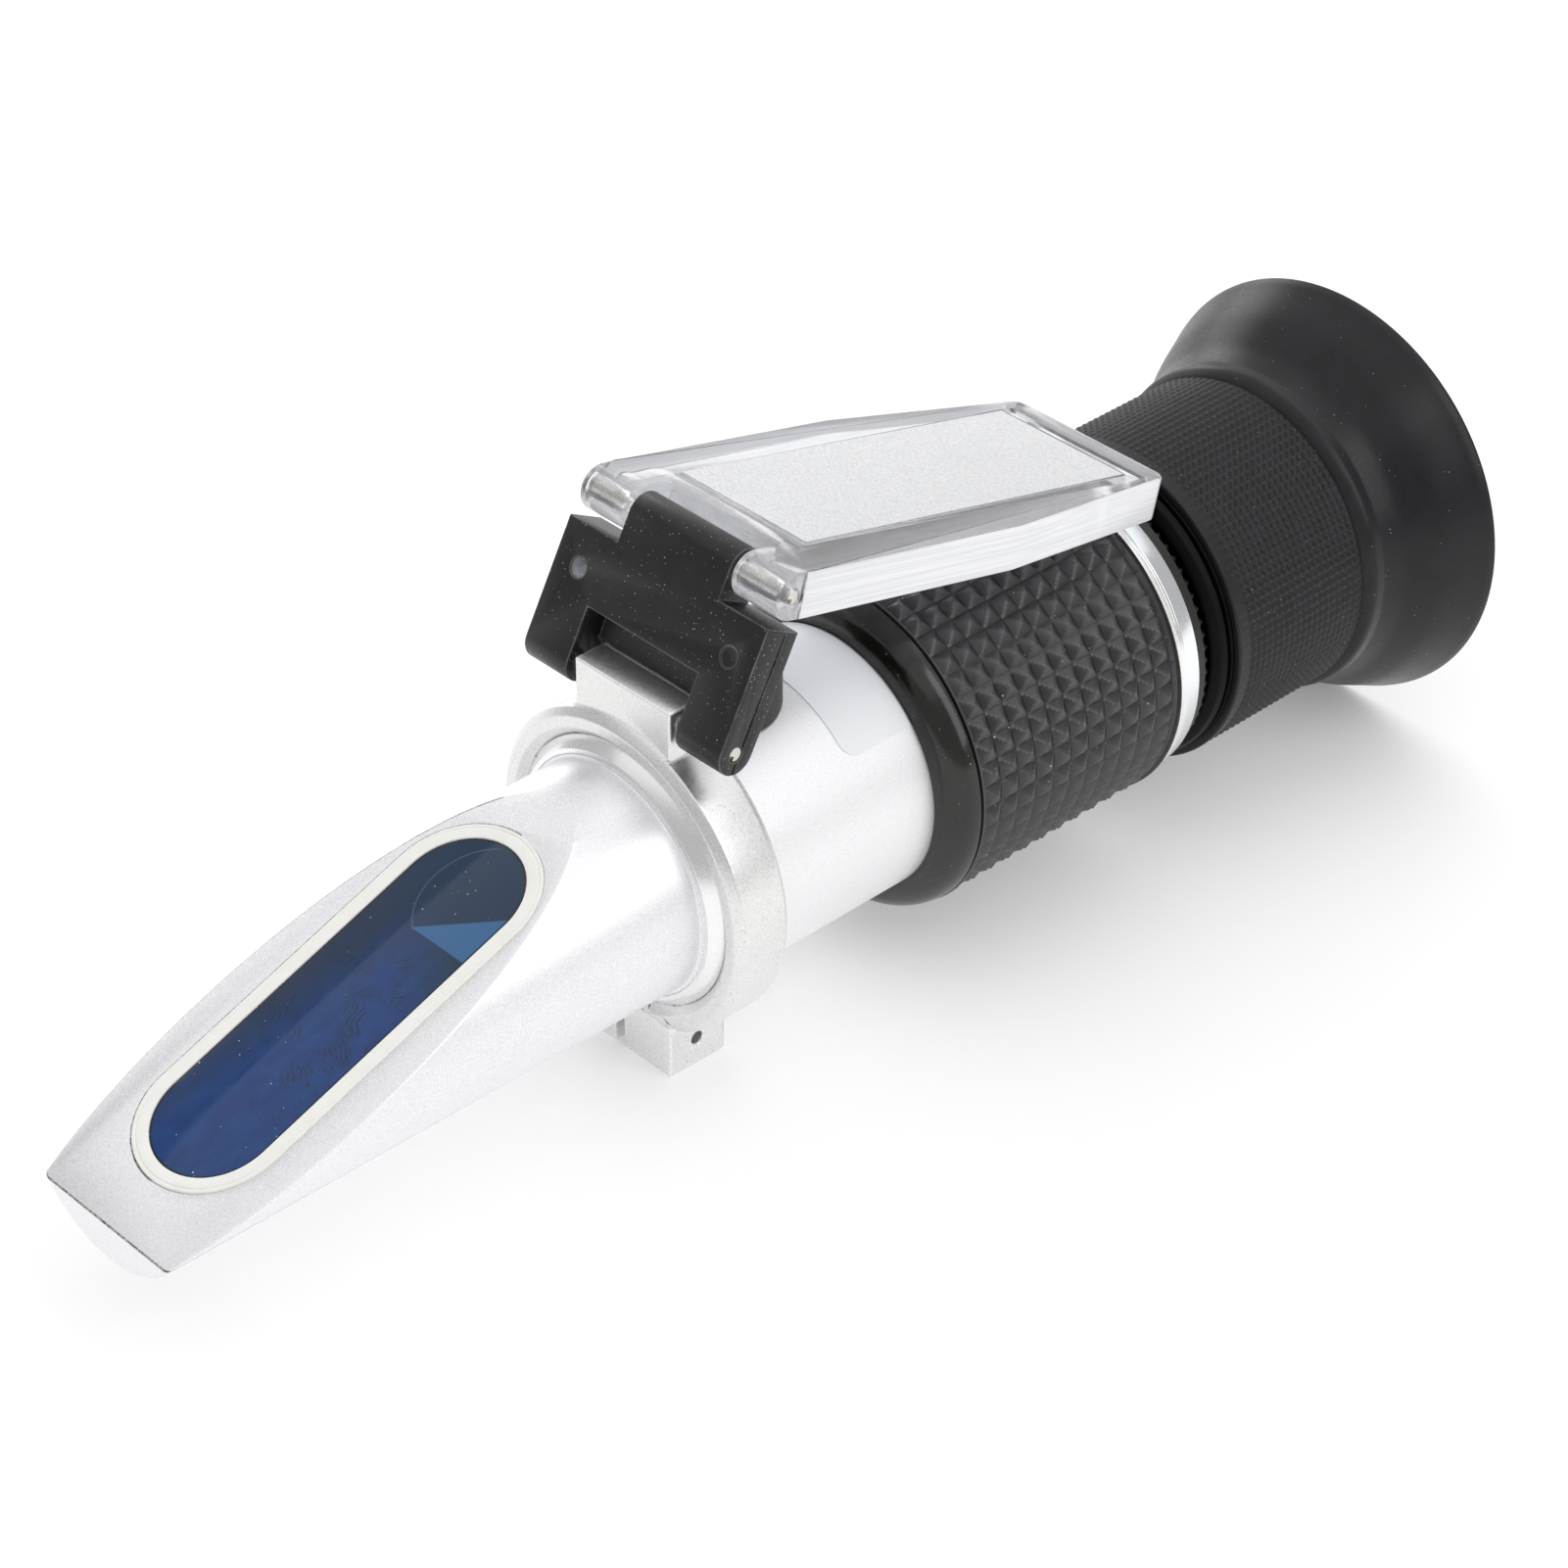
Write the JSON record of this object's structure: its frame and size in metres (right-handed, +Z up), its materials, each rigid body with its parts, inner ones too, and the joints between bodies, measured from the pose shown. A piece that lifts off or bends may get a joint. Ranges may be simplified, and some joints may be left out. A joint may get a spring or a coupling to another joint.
{
  "type": "hand refractometer",
  "caption": "Hand-held refractometer: a sloping prism face under a two-pin hinged daylight plate, a clamp ring, a gripped tube and a focusing eyepiece with a flared rubber cup.",
  "frame": {"origin": "centre of the instrument's footprint, on the plane that its eyecup rim stands on, with the optical axis 23 mm above it", "axes": "+X along the optical axis from the prism towards the eyepiece, +Z up towards the cover hinge, +Y across"},
  "size_m": [0.1598, 0.046, 0.0576],
  "materials": {
    "blasted_aluminium": "matte, bead-blasted",
    "prism_glass": "polished blue optical glass",
    "cream_seal": "satin, cream sealing compound",
    "satin_aluminium": "satin",
    "label_foil": "thin foil without print",
    "die_cast": "die-cast, speckled silver",
    "steel": "bright",
    "gloss_black": "glossy black",
    "grip_rubber": "matte moulded rubber with small pyramids",
    "polished_ring": "turned and polished",
    "brass": "turned",
    "black_anodised": "black anodised",
    "black_plastic": "moulded black",
    "link_plastic": "semi-matte moulded black",
    "clear_acrylic": "clear acrylic with a frosted pad",
    "cap_rubber": "soft black rubber",
    "eyecup_rubber": "soft black rubber with a knurled sleeve",
    "optical_glass": "coated optical glass",
    "bimetal": "bimetal"
  },
  "bodies": {
    "body": {"prism_tube": "blasted_aluminium", "prism": "prism_glass", "prism_seal": "cream_seal", "light_baffle": "black_anodised", "main_tube": "satin_aluminium", "blank_label": "label_foil", "clamp_ring": "die_cast", "clamp_screw": "steel", "bezel_ring": "gloss_black", "rubber_grip": "grip_rubber", "end_ring": "polished_ring", "calibration_bush": "brass", "carrier_guide": "black_plastic", "reticle_holder": "black_anodised", "reticle": "optical_glass", "reticle_retainer": "black_anodised", "guide_tube": "black_anodised", "focus_retainer": "black_anodised"},
    "link": {"hinge_link": "link_plastic", "lower_hinge_pin": "steel", "upper_hinge_pin": "steel"},
    "plate": {"daylight_plate": "clear_acrylic"},
    "cap": {"calibration_cap": "cap_rubber"},
    "adjuster": {"calibration_screw": "brass"},
    "carrier": {"lens_carrier": "black_plastic", "bimetal_strip": "bimetal", "strip_screws": "steel", "objective_cell": "brass", "objective_lens": "optical_glass"},
    "focus": {"focus_ring": "black_plastic", "eyecup": "eyecup_rubber"},
    "ocular": {"ocular_barrel": "black_anodised", "field_lens": "optical_glass", "lens_spacer": "black_anodised", "eye_lens": "optical_glass", "eye_lens_retainer": "black_anodised", "focus_key": "brass"}
  },
  "joints": [
    {"name": "link_fold", "type": "hinge", "parent": "body", "child": "link", "pos_m": [-0.01748, 0, 0.0419], "axis": [0, -1, 0], "range_deg": [0, 140.4]},
    {"name": "plate_fold", "type": "hinge", "parent": "link", "child": "plate", "pos_m": [-0.01023, 0, 0.05526], "axis": [0, -1, 0], "range_deg": [0, 73.5]},
    {"name": "focus_turn", "type": "hinge", "parent": "body", "child": "focus", "pos_m": [0.05965, 0, 0.023], "axis": [1, 0, 0], "range_deg": [-180, 180]},
    {"name": "ocular_shift", "type": "slide", "parent": "body", "child": "ocular", "axis": [1, 0, 0], "range_m": [-0.002, 0.002]},
    {"name": "cap_lift", "type": "slide", "parent": "body", "child": "cap", "axis": [0, 0, 1], "range_m": [0, 0.0035]},
    {"name": "cal_turn", "type": "hinge", "parent": "body", "child": "adjuster", "pos_m": [-0.00705, 0, 0.037], "axis": [0, 0, 1], "range_deg": [-360, 360]},
    {"name": "carrier_shift", "type": "slide", "parent": "body", "child": "carrier", "axis": [0, 0, 1], "range_m": [-0.00045, 0.00045]}
  ],
  "couplings": [
    {"joint": "ocular_shift", "follows": "focus_turn", "m_per_rad": 0.000636},
    {"joint": "cal_turn", "follows": "carrier_shift", "rad_per_m": -13963}
  ]
}
